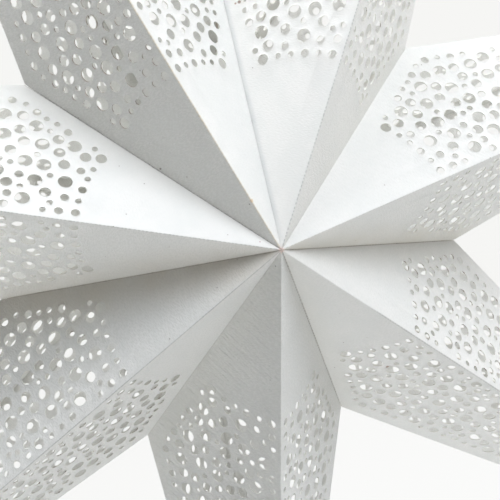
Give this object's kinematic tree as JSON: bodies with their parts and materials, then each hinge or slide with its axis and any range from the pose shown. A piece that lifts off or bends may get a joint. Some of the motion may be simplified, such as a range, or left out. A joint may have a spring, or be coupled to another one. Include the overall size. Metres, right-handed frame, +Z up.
{
  "type": "paper star",
  "caption": "Hanging paper star with pointed hollow arms folded from white card, each panel perforated with scattered round holes.",
  "frame": {"origin": "centre of the star, midway between its front and back apexes, where all the arms meet", "axes": "+Z up as it hangs, with one arm straight down and a notch at the top; -Y is the front; +X to the right"},
  "size_m": [0.585, 0.1196, 0.5703],
  "materials": {
    "card": "uncoated white card, matt"
  },
  "bodies": {
    "root": {"arm_1": "card", "arm_2": "card", "arm_3": "card", "arm_4": "card", "arm_5": "card", "arm_6": "card", "arm_7": "card"}
  },
  "joints": []
}
